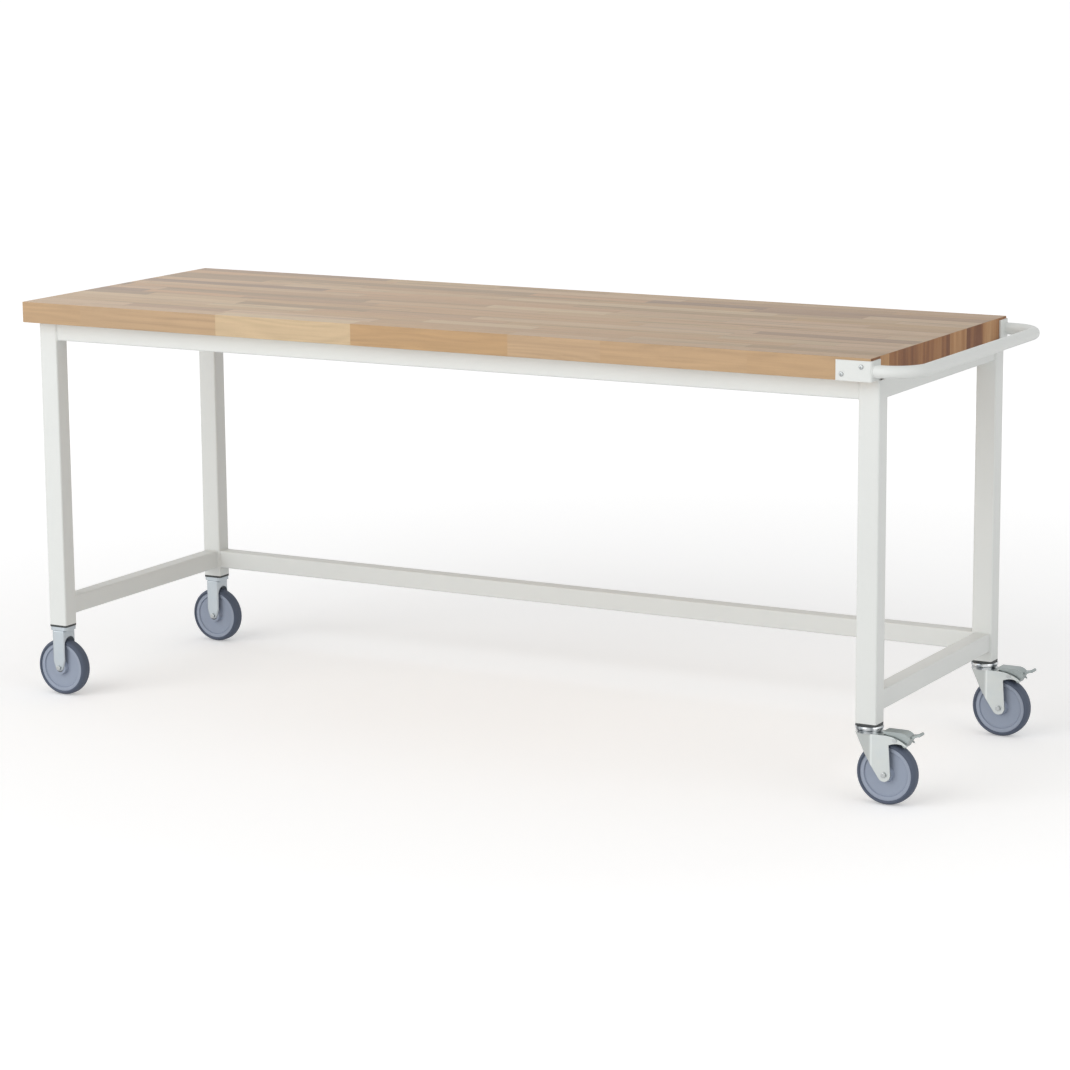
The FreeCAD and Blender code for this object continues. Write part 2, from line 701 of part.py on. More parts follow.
def make_swivel_fork(name, x, y):
    body = new_body("swivel_fork_" + name, x, y)
    cheek = [("-lead_reach", "fork_top"),
             ("-lead_knee", "fork_top - lead_knee_drop"),
             ("trail - swivel_end_radius * cos(swivel_end_angle * 1 deg)",
              "axle_z - swivel_end_radius * sin(swivel_end_angle * 1 deg)", "before"),
             ("trail + swivel_end_radius", "axle_z"),
             ("trail + cheek_neck", "fork_top - cheek_neck_drop", "cw", "ear_under_radius"),
             ("trail + ear_reach", "fork_top - ear_drop - ear_tip"),
             ("trail + ear_reach", "fork_top - ear_drop", "after"),
             ("trail", "fork_top")]
    pad(body, new_sketch(body, "XZ", [cheek]), "fork_outer", symmetric=True)
    corners = []
    for sign in (-1, 1):
        corners.append([("crease", "%d * fork_outer / 2" % sign), ("crease", "%d * fork_outer" % sign),
                        ("-2 * lead_reach", "%d * fork_outer" % sign),
                        ("-2 * lead_reach", "%d * lead_half" % sign),
                        ("-lead_reach", "%d * lead_half" % sign)])
    pocket(body, new_sketch(body, "XY", corners), "2 * clear", symmetric=True)
    crease, side = number("crease"), number("fork_outer / 2")
    round_edges(body, "crease_radius",
                lambda edge: runs_along(edge, Z_AXIS) and abs(edge.CenterOfMass.x - crease) < 0.01
                and abs(abs(edge.CenterOfMass.y) - side) < 0.01)
    lead_inner = "lead_half - fork_sheet"
    hollow = [("clear", "-fork_inner / 2"), ("clear", "fork_inner / 2"), ("crease", "fork_inner / 2"),
              ("fork_sheet - lead_reach", lead_inner), ("fork_sheet - lead_reach", "-(%s)" % lead_inner),
              ("crease", "-fork_inner / 2")]
    pocket(body, new_sketch(body, "XY", [hollow]), "fork_top - fork_sheet", reverse=True)
    opening = [("plate_reach", "fork_top - 2 * fork_sheet"), ("clear", "fork_top - 2 * fork_sheet"),
               ("clear", "fork_top + fork_sheet"), ("plate_reach", "fork_top + fork_sheet")]
    pocket(body, new_sketch(body, "XZ", [opening]), "fork_inner", symmetric=True)
    holes = [("trail", "axle_z", "axle_radius + seat_gap"), ("pivot_x", "pivot_z", "pin_radius + seat_gap")]
    pocket(body, new_sketch(body, "XZ", circles=holes), "2 * fork_outer", symmetric=True)
    king = new_sketch(body, "XY", circles=[("0", "0", "king_radius + run_gap")], lift="fork_top")
    pocket(body, king, "2 * fork_sheet")


# Brake pedal: a folded channel on a pin between the fork's ears

def make_brake_pedal(name, x, y):
    body = new_body("brake_pedal_" + name, x + " + pivot_x", y, "pivot_z")
    under = "pedal_rise - pedal_sheet"
    shoe = ("shoe_reach - pedal_sheet", "pedal_sheet / 2 - shoe_drop")
    fold = [("-pedal_back", "pedal_rise"), ("pedal_brow", "pedal_rise", "before"),
            ("pedal_nose", "pedal_nose_rise"),
            ("pedal_tip", "pedal_tip_rise"), ("pedal_tip", "pedal_tip_rise - pedal_sheet"),
            ("pedal_nose + pedal_sheet", "pedal_nose_rise - pedal_sheet"), ("shoe_reach", "-shoe_drop"), shoe,
            ("pedal_nose - pedal_sheet", "pedal_nose_rise - pedal_sheet", "after"),
            ("pedal_brow - pedal_sheet / 2", under), ("-pedal_back", under)]
    pad(body, new_sketch(body, "XZ", [fold]), "pedal_width", symmetric=True)
    wall = [("-pedal_boss", "0", "before"), ("pedal_boss", "0"), shoe,
            ("pedal_nose - pedal_sheet", "pedal_nose_rise - pedal_sheet", "after"),
            ("pedal_brow - pedal_sheet / 2", under), ("-pedal_back", under),
            ("-pedal_boss", "pedal_boss / 2")]
    pad(body, new_sketch(body, "XZ", [wall]), "pedal_width", symmetric=True)
    hollow = [("-2 * pedal_back", "-2 * shoe_drop"), ("shoe_reach - pedal_sheet", "-2 * shoe_drop"), shoe,
              ("pedal_nose - pedal_sheet", "pedal_nose_rise - pedal_sheet", "after"),
              ("pedal_brow - pedal_sheet / 2", under), ("-2 * pedal_back", under)]
    pocket(body, new_sketch(body, "XZ", [hollow]), "pedal_width - 2 * pedal_wall", symmetric=True)
    sides = []
    for sign in (-1, 1):
        near, far = "%d * tongue_width / 2" % sign, "%d * pedal_width" % sign
        sides.append([("pedal_nose + pedal_sheet", near), ("2 * pedal_tip", near),
                      ("2 * pedal_tip", far), ("pedal_nose + pedal_sheet", far)])
    pocket(body, new_sketch(body, "XY", sides), "4 * pedal_rise", symmetric=True)
    roll = [("pedal_tip - tip_radius / 2", "pedal_tip_rise - pedal_sheet / 2", "tip_radius")]
    pad(body, new_sketch(body, "XZ", circles=roll), "tongue_width", symmetric=True)
    hole = [("0", "0", "pin_radius + run_gap")]
    pocket(body, new_sketch(body, "XZ", circles=hole), "2 * pedal_width", symmetric=True)


def make_pedal_pin(name, x, y):
    body = new_body("pedal_pin_" + name, x + " + pivot_x", y, "pivot_z")
    pin = new_sketch(body, "XZ", circles=[("0", "0", "pin_radius")])
    pad(body, pin, "fork_outer + 2 * pin_head", symmetric=True)
    for lift, reverse in (("fork_outer / 2", False), ("-fork_outer / 2", True)):
        head = new_sketch(body, "XZ", circles=[("0", "0", "pin_head_radius")], lift=lift)
        pad(body, head, "pin_head", reverse=reverse)


def make_castors():
    for side in ("front", "back"):
        name = side + "_left"
        make_fixed_collar(name, "left", side)
        make_fixed_fork(name, "left", side)
        make_wheel(name, "left", side)
        name = side + "_right"
        make_swivel_head(name, "right", side)
        make_swivel_race(name, "right", side)
        make_swivel_fork(name, "right", side)
        make_wheel(name, "right + trail", side)
        make_axles(name, [("right + trail", side)])
        make_brake_pedal(name, "right", side)
        make_pedal_pin(name, "right", side)
    make_axles("fixed", [("left", "front"), ("left", "back")])


def check_model():
    doc.recompute()
    for item in doc.Objects:
        if "Invalid" in item.State or "Error" in item.State:
            raise RuntimeError("failed: %s %s" % (item.Name, item.State))
    for node in nodes:
        if node.Shape.isNull() or not node.Shape.isValid() or not node.Shape.Solids:
            raise RuntimeError("bad shape: " + node.Label)


def write_parts():
    os.makedirs("parts", exist_ok=True)
    for node in nodes:
        node.Shape.exportStep("parts/%s.step" % node.Label)
    print(len(nodes), "nodes written")


make_worktop()
make_worktop_bolts()
make_frame()
make_handle()
make_castors()
check_model()
write_parts()
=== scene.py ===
import json
import math
import bmesh
import bpy
from mathutils import Matrix, Vector


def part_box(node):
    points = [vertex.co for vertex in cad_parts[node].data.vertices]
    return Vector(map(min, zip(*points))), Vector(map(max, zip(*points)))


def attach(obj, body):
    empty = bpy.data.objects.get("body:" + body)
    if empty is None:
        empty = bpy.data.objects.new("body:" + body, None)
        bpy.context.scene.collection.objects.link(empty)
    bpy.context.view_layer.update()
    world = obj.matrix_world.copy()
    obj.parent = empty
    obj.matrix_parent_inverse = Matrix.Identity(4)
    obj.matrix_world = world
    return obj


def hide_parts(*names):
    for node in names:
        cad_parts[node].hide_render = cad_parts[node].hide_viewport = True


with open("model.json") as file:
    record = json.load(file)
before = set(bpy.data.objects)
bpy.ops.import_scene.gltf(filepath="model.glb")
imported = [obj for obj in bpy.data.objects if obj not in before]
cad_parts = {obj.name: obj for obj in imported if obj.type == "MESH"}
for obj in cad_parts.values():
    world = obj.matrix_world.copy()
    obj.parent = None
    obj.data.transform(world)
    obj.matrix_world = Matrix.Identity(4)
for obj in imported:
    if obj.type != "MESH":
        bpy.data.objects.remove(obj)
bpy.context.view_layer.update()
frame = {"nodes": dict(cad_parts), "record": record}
nodes = frame["nodes"]
print("bench loaded:", len(nodes), "solids")


class Flow:                                      # one socket of a material, usable in plain arithmetic
    def __init__(self, paint, socket):
        self.paint = paint
        self.socket = socket

    def maths(self, operation, first, second=0.0):
        return self.paint.node("Math", {"operation": operation}, [first, second])

    def __add__(self, other):
        return self.maths("ADD", self, other)

    def __radd__(self, other):
        return self.maths("ADD", other, self)

    def __sub__(self, other):
        return self.maths("SUBTRACT", self, other)

    def __rsub__(self, other):
        return self.maths("SUBTRACT", other, self)

    def __mul__(self, other):
        return self.maths("MULTIPLY", self, other)

    def __rmul__(self, other):
        return self.maths("MULTIPLY", other, self)

    def __truediv__(self, other):
        return self.maths("DIVIDE", self, other)

    def __gt__(self, other):
        return self.maths("GREATER_THAN", self, other)

    def __lt__(self, other):
        return self.maths("LESS_THAN", self, other)

    def __abs__(self):
        return self.maths("ABSOLUTE", self)

    def whole(self):
        return self.maths("FLOOR", self)

    def part(self):
        return self.maths("FRACT", self)

    def wave(self):
        return self.maths("SINE", self)

    def root(self):
        return self.maths("SQRT", self)

    def most(self, other):
        return self.maths("MAXIMUM", self, other)

    def held(self):                              # kept between 0 and 1
        return self.paint.node("Clamp", sockets=[self, 0.0, 1.0])


class Paint:                                     # one material and the nodes that make it
    def __init__(self, name, holder=None, shader="Principled BSDF", **plain):
        self.material = holder or bpy.data.materials.new(name)
        self.material.use_nodes = True
        self.tree = self.material.node_tree
        self.shader = self.tree.nodes[shader]
        for socket, value in plain.items():      # values that are the same all over
            self.shader.inputs[socket.replace("_", " ")].default_value = value

    def node(self, kind, settings=None, sockets=None, out=0):
        made = self.tree.nodes.new("ShaderNode" + kind)
        for key, value in (settings or {}).items():
            if key == "stops":                   # places and colours of a ramp
                ramp = made.color_ramp
                while len(ramp.elements) < len(value):
                    ramp.elements.new(1.0)
                for stop, (place, colour) in zip(ramp.elements, value):
                    stop.position = place
                    stop.color = (*colour, 1.0)
            elif key == "steps":
                made.color_ramp.interpolation = value
            else:
                setattr(made, key, value)
        pairs = sockets.items() if isinstance(sockets, dict) else enumerate(sockets or [])
        for key, value in pairs:
            self.feed(made.inputs[key], value)
        return Flow(self, made.outputs[out])

    def feed(self, socket, value):
        if isinstance(value, Flow):
            self.tree.links.new(value.socket, socket)
        else:
            socket.default_value = value

    def place(self):
        return self.node("TexCoord", out="Object")

    def split(self, vector):
        made = self.node("SeparateXYZ", sockets=[vector]).socket.node
        return [Flow(self, output) for output in made.outputs]

    def join(self, x, y, z=0.0):
        return self.node("CombineXYZ", sockets=[x, y, z])

    def noise(self, vector, scale, detail, rough=0.5):
        sockets = {"Vector": vector, "Scale": scale, "Detail": detail, "Roughness": rough}
        return self.node("TexNoise", sockets=sockets)

    def stretched(self, vector, across, rise, detail):           # noise with a scale of its own in height
        x, y, z = self.split(vector)
        return self.noise(self.join(x * across, y * across, z * rise), 1.0, detail)

    def luck(self, value):                       # one random number for each value
        return self.node("TexWhiteNoise", {"noise_dimensions": "1D"}, {"W": value})

    def weigh(self, shares, **masks):            # a base and each mask times its share
        total = shares.get("base", 0.0)
        for name, mask in masks.items():
            total = total + shares[name] * mask
        return total

    def ramp(self, flow, stops, steps="LINEAR"):
        return self.node("ValToRGB", {"stops": stops, "steps": steps}, [flow])

    def between(self, share, first, second):     # colour mix, sockets 6 and 7 take the colours
        first, second = [c if isinstance(c, Flow) else (*c, 1.0) for c in (first, second)]
        return self.node("Mix", {"data_type": "RGBA"}, {0: share, 6: first, 7: second}, out=2)

    def times(self, colour, share):              # colour made lighter or darker
        return self.node("VectorMath", {"operation": "SCALE"}, {0: colour, "Scale": share})

    def tint(self, colour, other):
        return self.node("VectorMath", {"operation": "MULTIPLY"}, [colour, other])

    def finish(self, colour, roughness, height, depth):
        bump = self.node("Bump", sockets={"Strength": 1.0, "Distance": depth, "Height": height})
        self.feed(self.shader.inputs["Base Color"], colour)
        self.feed(self.shader.inputs["Roughness"], roughness)
        self.feed(self.shader.inputs["Normal"], bump)
        return self.material


# Finishes. A noise is its scale or two scales, its detail and its roughness. Lengths are in metres.

beech = {"strip": 0.04375, "stave": 0.40, "front": -0.35, "gap": 0.0004, "gapShade": 0.22,
         "laneSpread": 9.0, "wander": 0.30, "wanderPace": 5.0, "wanderSpread": 31.0, "firstStave": 20.0,
         "frontJoints": [-0.885, -0.535, -0.201, 0.170, 0.380, 0.701],     # where the front staves meet
         "frontTones": [0.43, 0.36, 0.0, 0.66, 0.36, 0.46, 0.50],          # pale 0, brown 1
         "palest": 0.13,                                                   # of the other strips
         "tones": [(0.0, (0.707, 0.529, 0.334)), (0.34, (0.610, 0.416, 0.252)),
                   (0.66, (0.588, 0.371, 0.190)), (1.0, (0.335, 0.216, 0.144))],
         "pink": (1.02, 0.97, 0.97), "straw": (0.98, 1.01, 0.93), "hueSpread": 91.0, "hueStart": 3.0,
         "figure": (5.0, 170.0, 5.0, 0.6), "broad": (1.3, 10.0, 2.0),      # with two scales: along, across
         "pores": (70.0, 1500.0, 2.0), "streaks": (2.4, 85.0, 3.0), "shift": 40.0,
         "ringWarp": 95.0, "ringPace": 240.0, "poreLevel": 0.64,
         "streakLevel": 0.53, "streakEdge": 6.0, "frontCalm": 0.6,
         "light": {"base": 0.82, "figure": 0.30, "rings": 0.08, "pores": -0.09, "streak": -0.31},
         # the top face gets a grey mix of dust and a painted sheen that grows towards the left end
         "facing": 0.7, "dustAndSheenGrey": (0.40, 0.375, 0.345), "dustAndSheen": 0.24, "sheenSlope": 0.10,
         # painted shade on the top face, lighter towards the left end and darker towards the right
         "topShade": 0.03, "topLightSlope": 0.21,
         "roughness": {"base": 0.40, "figure": 0.16, "pores": 0.10, "ends": 0.15},
         "height": {"figure": 0.5, "pores": -0.5, "gap": -1.0}, "depth": 0.00012}
endGrain = {"tones": [(0.0, (0.170, 0.064, 0.026)), (0.35, (0.290, 0.128, 0.048)),
                      (0.70, (0.400, 0.205, 0.086)), (1.0, (0.510, 0.300, 0.145))],
            "fine": (240.0, 9.0, 3.0), "bands": (38.0, 3.0, 1.0), "bandShift": 23.0,    # scales across, up
            "tone": {"base": 0.12, "luck": 0.85, "bands": 1.2}, "light": {"base": 0.76, "fine": 0.48}}


def makeBeechBlock():
    paint = Paint("beechBlock", Specular_IOR_Level=0.45)
    x, y, z = paint.split(paint.place())
    endwise, upright = paint.split(paint.node("TexCoord", out="Normal"))[::2]          # x and z

    # strips side by side, in each of them staves end to end
    lane = (y - beech["front"]) / beech["strip"]
    laneNumber = lane.whole()
    laneLuck = paint.luck(laneNumber + 0.5)
    wander = (x * beech["wanderPace"] + laneLuck * beech["wanderSpread"]).wave() * beech["wander"]
    along = x / beech["stave"] + laneLuck * beech["laneSpread"] + wander
    joints = beech["frontJoints"]
    frontCount = sum((x > joint for joint in joints[1:]), x > joints[0])
    isFront = laneNumber < 0.5
    staveNumber = isFront * frontCount + (1 - isFront) * (along.whole() + beech["firstStave"])
    stave = paint.join(laneNumber, staveNumber)
    luck = paint.node("TexWhiteNoise", {"noise_dimensions": "2D"}, {"Vector": stave})

    # tone and hue of each stave
    tones = beech["frontTones"]
    stops = [(i / len(tones), (tone,) * 3) for i, tone in enumerate(tones)]
    frontTone = paint.ramp((frontCount + 0.5) / len(tones), stops, "CONSTANT")
    otherTone = beech["palest"] + (1 - beech["palest"]) * luck
    colour = paint.ramp(isFront * frontTone + (1 - isFront) * otherTone, beech["tones"])
    hue = paint.luck(luck * beech["hueSpread"] + beech["hueStart"])
    hue = hue + isFront * (0.5 - hue)            # the same all along the front strip
    colour = paint.tint(colour, paint.between(hue, beech["pink"], beech["straw"]))

    shift = luck * beech["shift"]

    def grain(kind):                             # noise drawn out along the wood
        lengthwise, across, *fineness = beech[kind]
        spot = paint.join(x * lengthwise + shift, y * across, z * across)
        return paint.noise(spot, 1.0, *fineness)

    figure = grain("figure")
    rings = (grain("broad") * beech["ringWarp"] + y * beech["ringPace"]).wave() * 0.5 + 0.5
    pores = grain("pores") > beech["poreLevel"]
    streak = ((grain("streaks") - beech["streakLevel"]) * beech["streakEdge"]).held()
    streak = streak * (1 - beech["frontCalm"] * isFront)
    light = paint.weigh(beech["light"], figure=figure, rings=rings, pores=pores, streak=streak)
    colour = paint.times(colour, light)

    # end grain shows each strip as an upright band, with its rings
    ends = abs(endwise) > beech["facing"]
    across, rise, detail = endGrain["fine"]
    fine = paint.noise(paint.join(y * across, z * rise), 1.0, detail)
    across, rise, detail = endGrain["bands"]
    bands = paint.noise(paint.join(y * across + luck * endGrain["bandShift"], z * rise), 1.0, detail)
    endTone = paint.weigh(endGrain["tone"], luck=luck, bands=bands - 0.5).held()
    endLight = paint.weigh(endGrain["light"], fine=fine)
    endColour = paint.times(paint.ramp(endTone, endGrain["tones"]), endLight)
    colour = paint.between(ends, colour, endColour)

    # the used top face is greyer with dust and a painted sheen, paler towards the left end with painted
    # light and darker towards the right with painted shade
    upward = upright > beech["facing"]
    # grey mix on the top face: dust, and a painted sheen that grows towards the left end
    dustAndSheen = upward * (beech["dustAndSheen"] - beech["sheenSlope"] * x)
    colour = paint.between(dustAndSheen, colour, beech["dustAndSheenGrey"])
    # painted shade over the whole top, less towards the left end and more towards the right
    colour = paint.times(colour, 1 - upward * (beech["topShade"] + beech["topLightSlope"] * x))

    laneGap = abs(lane.part() - 0.5) > 0.5 - beech["gap"] / beech["strip"]
    endGap = (abs(along.part() - 0.5) > 0.5 - beech["gap"] / beech["stave"]) * (1 - isFront)
    gap = laneGap.most(endGap)
    colour = paint.times(colour, 1 - beech["gapShade"] * gap)
    roughness = paint.weigh(beech["roughness"], figure=figure, pores=pores, ends=ends)
    height = paint.weigh(beech["height"], figure=figure, pores=pores, gap=gap)
    return paint.finish(colour, roughness, height, beech["depth"])


coat = {"colour": (0.735, 0.752, 0.730), "shade": (0.700, 0.716, 0.698),
        "peel": (620.0, 2.0), "grit": (2600.0, 2.0), "cloud": (7.0, 4.0, 0.6),
        "roughness": {"base": 0.36, "cloud": 0.10, "grit": 0.06},
        "height": {"peel": 1.0, "grit": 0.25}, "depth": 0.00004}


def makeGreyCoat():
    paint = Paint("greyCoat", Specular_IOR_Level=0.5)
    spot = paint.place()
    peel = paint.noise(spot, *coat["peel"])
    grit = paint.noise(spot, *coat["grit"])
    cloud = paint.noise(spot, *coat["cloud"])
    colour = paint.between(cloud, coat["colour"], coat["shade"])
    roughness = paint.weigh(coat["roughness"], cloud=cloud, grit=grit)
    height = paint.weigh(coat["height"], peel=peel, grit=grit)
    return paint.finish(colour, roughness, height, coat["depth"])


cap = {"colour": (0.030, 0.033, 0.034), "worn": (0.060, 0.064, 0.064),
       "grain": (2400.0, 2.0), "cloud": (45.0, 4.0, 0.65),
       "roughness": {"base": 0.46, "cloud": 0.22}, "depth": 0.00005}


def makeBlackPlastic():
    paint = Paint("blackPlastic", Specular_IOR_Level=0.45)
    spot = paint.place()
    grain = paint.noise(spot, *cap["grain"])
    cloud = paint.noise(spot, *cap["cloud"])
    colour = paint.between(cloud, cap["colour"], cap["worn"])
    return paint.finish(colour, paint.weigh(cap["roughness"], cloud=cloud), grain, cap["depth"])


zinc = {"colour": (0.545, 0.570, 0.565), "blue": (0.470, 0.510, 0.530), "warm": (0.555, 0.565, 0.520),
        "warmth": 0.45, "plainTint": (1.0, 1.0, 1.0), "fixedTint": (0.86, 0.89, 0.95),
        "flower": 210.0, "cloud": (28.0, 3.0, 0.55), "haze": (61.0, 4.0, 0.6),
        "rolled": (900.0, 60.0, 2.0),            # scales across and up
        "axis": 0.94525, "bend": 0.0125, "forkReach": 0.06, "drawnEdge": 160.0, "burnishEdge": 330.0,
        # painted shade before the ear bend and a painted highlight along it, on swivel forks
        "light": {"base": 1.0, "drawn": -0.20, "burnish": 0.26},
        "roughness": {"base": 0.34, "cloud": 0.10, "flower": 0.05, "rolled": 0.06, "burnish": -0.12},
        "height": {"rolled": 0.6, "flower": 0.4}, "depth": 0.00002}
pedal = {**zinc, "colour": (0.335, 0.372, 0.372), "blue": (0.280, 0.322, 0.335),
         "warm": (0.370, 0.392, 0.365)}


def makeZincSheet(name, sheet):
    paint = Paint(name, Metallic=1.0)
    spot = paint.place()
    x = paint.split(spot)[0]
    sockets = {"Vector": spot, "Scale": sheet["flower"]}
    flower = paint.node("TexVoronoi", {"feature": "F1"}, sockets, out="Distance")
    cloud = paint.noise(spot, *sheet["cloud"])
    haze = paint.noise(spot, *sheet["haze"])
    rolled = paint.stretched(spot, *sheet["rolled"])
    colour = paint.between(cloud, sheet["colour"], sheet["blue"])
    colour = paint.between(haze * sheet["warmth"], colour, sheet["warm"])
    tint = paint.between(x < 0.0, sheet["plainTint"], sheet["fixedTint"])        # fixed forks are bluer
    colour = paint.tint(colour, tint)

    # swivel forks get painted shade up to the bend of their ears and a painted highlight along it
    reach = x - sheet["axis"]
    isFork = abs(reach) < sheet["forkReach"]
    drawn = ((sheet["bend"] - reach) * sheet["drawnEdge"]).held() * isFork
    burnish = (1 - abs(reach - sheet["bend"]) * sheet["burnishEdge"]).held() * isFork
    colour = paint.times(colour, paint.weigh(sheet["light"], drawn=drawn, burnish=burnish))

    roughness = paint.weigh(sheet["roughness"], cloud=cloud, flower=flower, rolled=rolled, burnish=burnish)
    height = paint.weigh(sheet["height"], rolled=rolled, flower=flower)
    return paint.finish(colour, roughness, height, sheet["depth"])


# the streaks and the dark colour are painted reflections: dark upright bands round the head and race, with
# some cloudy tone
bright = {"colour": (0.70, 0.72, 0.73), "reflectionDark": (0.16, 0.18, 0.20),
          "lines": (20.0, 2600.0, 2.0), "streaks": (75.0, 6.0, 1.0),      # scales across and up
          "streakLevel": 0.42, "streakEdge": 4.5, "cloud": (70.0, 3.0),
          "paintedReflection": {"streak": 0.8, "cloud": 0.2},
          "roughness": {"base": 0.15, "cloud": 0.10, "turned": 0.05}, "depth": 0.00002}


def makeBrightZinc():
    paint = Paint("brightZinc", Metallic=1.0)
    spot = paint.place()
    turned = paint.stretched(spot, *bright["lines"])             # fine lathe lines
    # dark upright bands round the head and race are painted reflections
    streak = paint.stretched(spot, *bright["streaks"])
    streak = ((streak - bright["streakLevel"]) * bright["streakEdge"]).held()
    cloud = paint.noise(spot, *bright["cloud"])
    paintedReflection = paint.weigh(bright["paintedReflection"], streak=streak, cloud=cloud)
    colour = paint.between(paintedReflection, bright["colour"], bright["reflectionDark"])
    roughness = paint.weigh(bright["roughness"], cloud=cloud, turned=turned)
    return paint.finish(colour, roughness, turned, bright["depth"])


fastener = {"colour": (0.52, 0.54, 0.54), "dull": (0.36, 0.38, 0.385),
            "cloud": (160.0, 4.0, 0.6), "fine": (1900.0, 2.0),
            "roughness": {"base": 0.28, "cloud": 0.2, "fine": 0.05}, "depth": 0.00002}


def makeZincFastener():
    paint = Paint("zincFastener", Metallic=1.0)
    spot = paint.place()
    cloud = paint.noise(spot, *fastener["cloud"])
    fine = paint.noise(spot, *fastener["fine"])
    colour = paint.between(cloud, fastener["colour"], fastener["dull"])
    roughness = paint.weigh(fastener["roughness"], cloud=cloud, fine=fine)
    return paint.finish(colour, roughness, fine, fastener["depth"])


tyre = {"colour": (0.070, 0.088, 0.131), "worn": (0.098, 0.120, 0.164),
        "wheelSide": 0.302, "seam": 0.0004, "treadHalf": 0.011,
        "cloud": (38.0, 5.0, 0.65), "grain": (1500.0, 2.0),
        "paleness": {"cloud": 0.6, "tread": 0.12},
        "roughness": {"base": 0.48, "cloud": 0.2, "tread": 0.08},
        "height": {"grain": 0.3, "seam": 1.0}, "depth": 0.00012}


def makeGreyTyre():
    paint = Paint("greyTyre", Specular_IOR_Level=0.4)
    spot = paint.place()
    cloud = paint.noise(spot, *tyre["cloud"])
    grain = paint.noise(spot, *tyre["grain"])
    offset = abs(abs(paint.split(spot)[1]) - tyre["wheelSide"])          # from the wheel's middle plane
    seam = offset < tyre["seam"]                 # mould line round the tread
    tread = 1 - (offset > tyre["treadHalf"])
    paleness = paint.weigh(tyre["paleness"], cloud=cloud, tread=tread)
    colour = paint.between(paleness, tyre["colour"], tyre["worn"])
    roughness = paint.weigh(tyre["roughness"], cloud=cloud, tread=tread)
    height = paint.weigh(tyre["height"], grain=grain, seam=seam)
    return paint.finish(colour, roughness, height, tyre["depth"])


core = {"colour": (0.282, 0.324, 0.408), "pale": (0.325, 0.368, 0.452),
        "left": -0.99475, "right": 0.98525, "axle": 0.0625, "rim": 0.0468,
        "rings": (900.0, 2.0), "cloud": (55.0, 4.0, 0.6), "grain": (2200.0, 2.0),
        "paleness": {"cloud": 0.35, "rim": 0.55},
        "roughness": {"base": 0.36, "cloud": 0.12, "turned": 0.06},
        "height": {"grain": 0.4, "turned": 0.6}, "depth": 0.00003}


def makeCorePlastic():
    paint = Paint("corePlastic", Specular_IOR_Level=0.45)
    spot = paint.place()
    x, z = paint.split(spot)[::2]
    reach = x - (core["left"] + (x > 0.0) * (core["right"] - core["left"]))        # from the nearer axle
    rise = z - core["axle"]
    radius = (reach * reach + rise * rise).root()
    turned = paint.noise(paint.join(radius, 0.0), *core["rings"])        # faint mould rings
    cloud = paint.noise(spot, *core["cloud"])
    grain = paint.noise(spot, *core["grain"])
    paleness = paint.weigh(core["paleness"], cloud=cloud, rim=radius > core["rim"])
    colour = paint.between(paleness, core["colour"], core["pale"])
    roughness = paint.weigh(core["roughness"], cloud=cloud, turned=turned)
    height = paint.weigh(core["height"], grain=grain, turned=turned)
    return paint.finish(colour, roughness, height, core["depth"])


bush = {"colour": (0.05, 0.05, 0.055), "pale": (0.09, 0.09, 0.095), "cloud": (240.0, 3.0),
        "roughness": {"base": 0.3, "cloud": 0.2}, "depth": 0.00003}


def makeBushPlastic():
    paint = Paint("bushPlastic", Specular_IOR_Level=0.5)
    cloud = paint.noise(paint.place(), *bush["cloud"])
    colour = paint.between(cloud, bush["colour"], bush["pale"])
    return paint.finish(colour, paint.weigh(bush["roughness"], cloud=cloud), cloud, bush["depth"])


finishes = {"beech_block": makeBeechBlock(),
            "grey_powder_coat": makeGreyCoat(),
            "black_plastic": makeBlackPlastic(),
            "zinc_sheet": makeZincSheet("zincSheet", zinc),
            "bright_zinc": makeBrightZinc(),
            "zinc_fasteners": makeZincFastener(),
            "grey_tyre": makeGreyTyre(),
            "core_plastic": makeCorePlastic(),
            "bush_plastic": makeBushPlastic()}

for part in frame["record"]["subparts"]:
    item = nodes[part["node"]]
    item.data.materials.clear()
    item.data.materials.append(finishes[part["material_slot"]])
pedalFinish = makeZincSheet("zincPedal", pedal)
for corner in ("front_right", "back_right"):
    nodes["brake_pedal_" + corner].data.materials[0] = pedalFinish
print("finishes:", len(finishes) + 1)


# Small pieces: every one is built of rings of points, joined in order

def addRings(build, rings, closed=False):
    rows = [[build.verts.new(point) for point in ring] for ring in rings]
    for low, high in zip(rows, rows[1:] + rows[:1] if closed else rows[1:]):
        for i in range(len(low)):
            build.faces.new((low[i - 1], low[i], high[i], high[i - 1]))
    if not closed:
        build.faces.new(rows[0][::-1])
        build.faces.new(rows[-1])


def turn(profile, centre, tilt=0.0, steps=64, outline=None):
    # profile: radius and height of each ring, and True where the outline trims it
    swing = Matrix.Rotation(math.radians(tilt), 3, "X")
    rings = []
    for radius, height, *trimmed in profile:
        ring = []
        for i in range(steps):
            angle = math.tau * i / steps
            reach = min(radius, outline(angle)) if trimmed else radius
            point = Vector((reach * math.cos(angle), reach * math.sin(angle), height))
            ring.append(Vector(centre) + swing @ point)
        rings.append(ring)
    return rings


def addPiece(name, build, body, slot, replaced=(), sharp=35.0):
    mesh = bpy.data.meshes.new(name)
    bmesh.ops.recalc_face_normals(build, faces=build.faces)
    build.to_mesh(mesh)
    build.free()
    mesh.shade_smooth()
    mesh.set_sharp_from_angle(angle=math.radians(sharp))
    mesh.materials.append(finishes[slot])
    piece = bpy.data.objects.new(name, mesh)
    bpy.context.scene.collection.objects.link(piece)
    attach(piece, body)
    if replaced:
        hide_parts(*replaced)
    print("piece:", name, len(mesh.vertices), "points")


def middle(node):
    low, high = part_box(node)
    return (Vector(low) + Vector(high)) / 2


